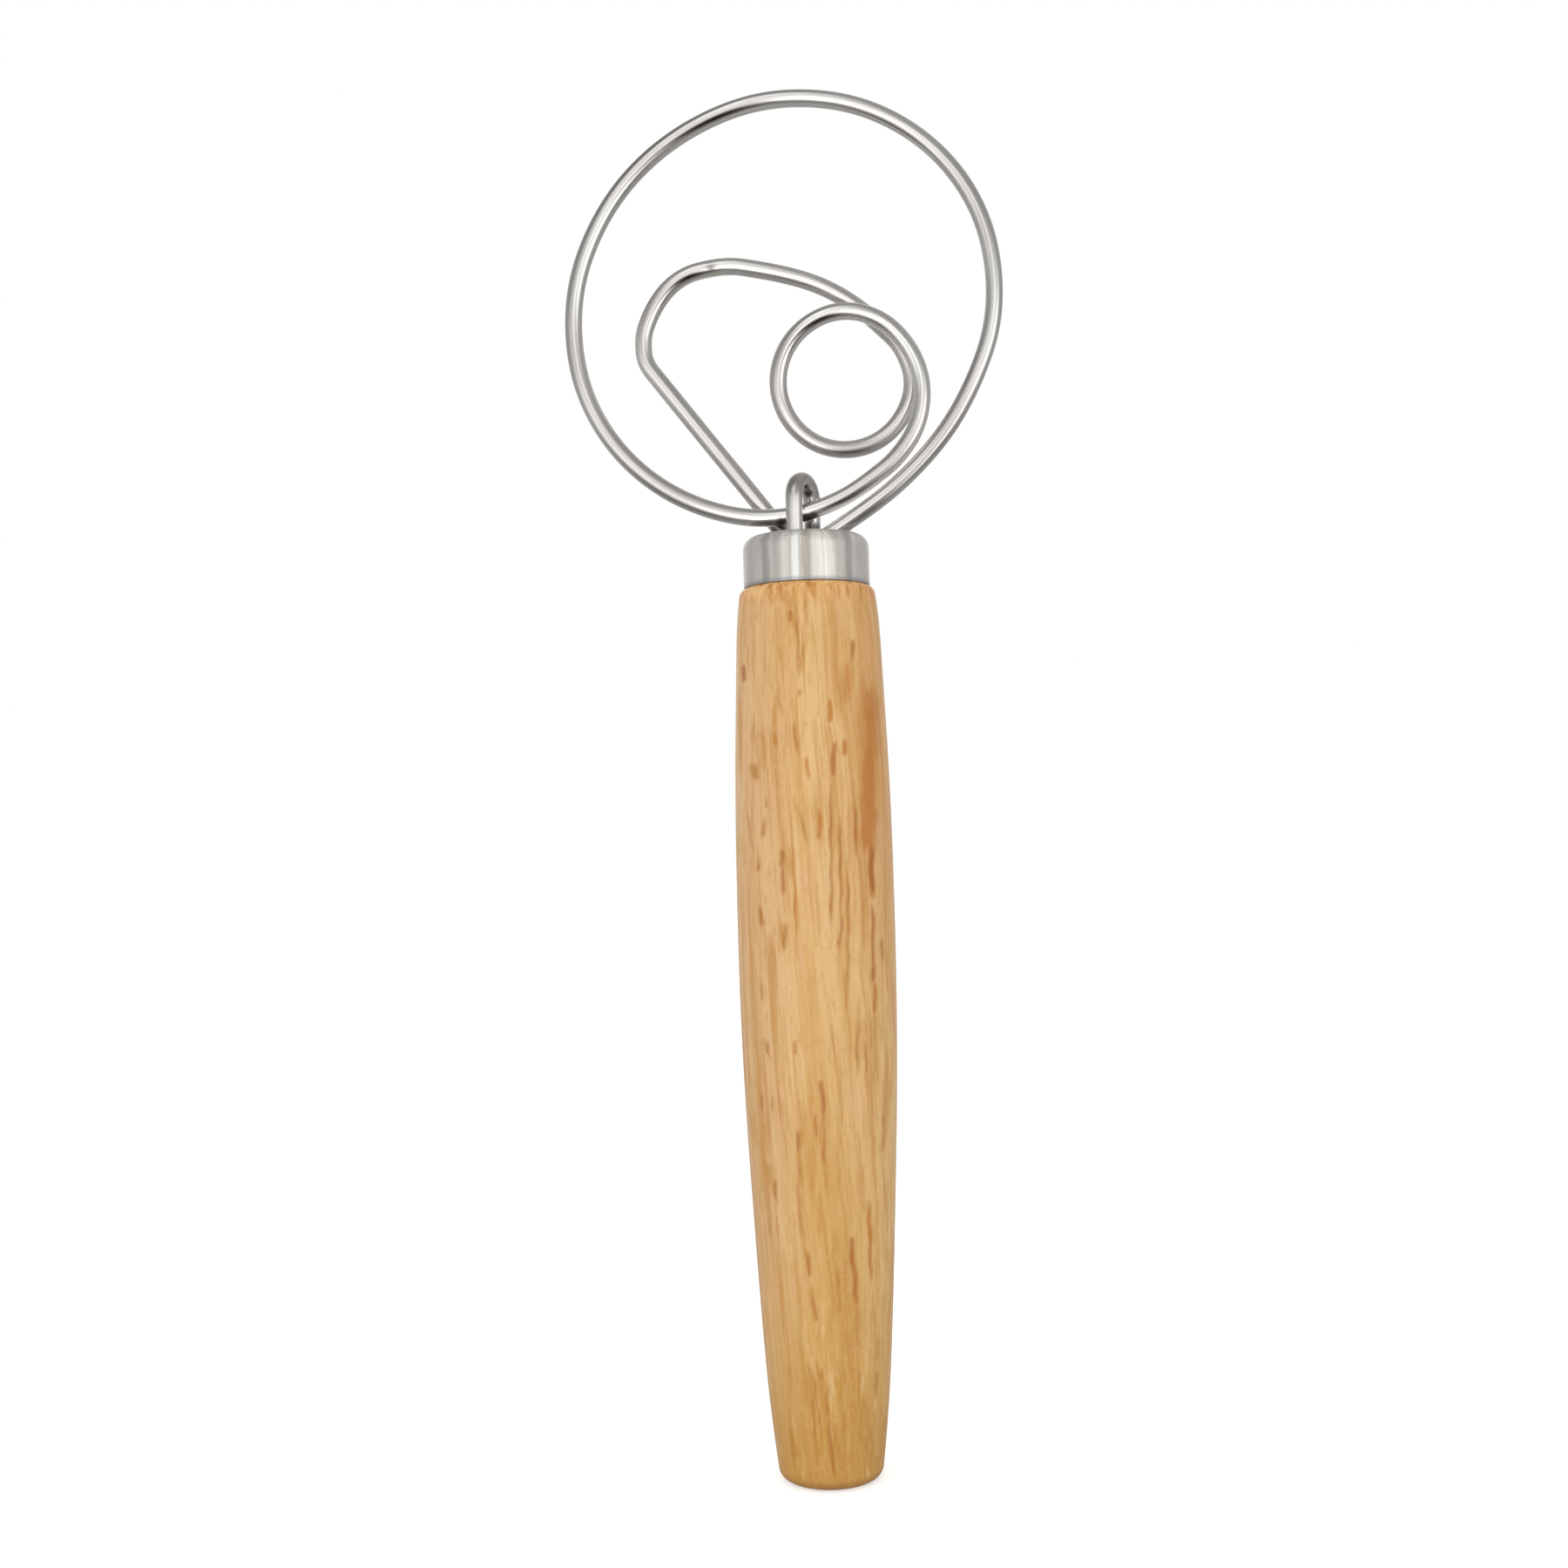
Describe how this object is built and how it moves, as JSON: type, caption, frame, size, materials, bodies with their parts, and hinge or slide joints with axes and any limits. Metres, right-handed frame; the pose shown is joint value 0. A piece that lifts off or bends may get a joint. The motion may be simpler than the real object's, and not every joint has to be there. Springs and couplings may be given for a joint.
{
  "type": "dough whisk",
  "caption": "Hand dough whisk: turned wooden handle, drawn steel cap, and a flat head bent from one steel wire into a big ring, a small coil and a kite-shaped loop.",
  "frame": {"origin": "centre of the handle's flat butt", "axes": "+Z along the handle towards the wire head, the big ring in the XZ plane, the side with the ring in front facing -Y"},
  "size_m": [0.0728, 0.0262, 0.2301],
  "materials": {
    "handle_wood": "clear satin lacquer on honey coloured hardwood",
    "cap_steel": "brushed along the handle's axis",
    "wire_steel": "drawn and polished stainless wire",
    "staple_steel": "drawn stainless wire, a little duller than the head",
    "resin": "cured potting resin"
  },
  "bodies": {
    "root": {"handle": "handle_wood", "ferrule_cap": "cap_steel", "whisk_wire": "wire_steel", "wire_staple": "staple_steel", "resin_plug": "resin"}
  },
  "joints": []
}
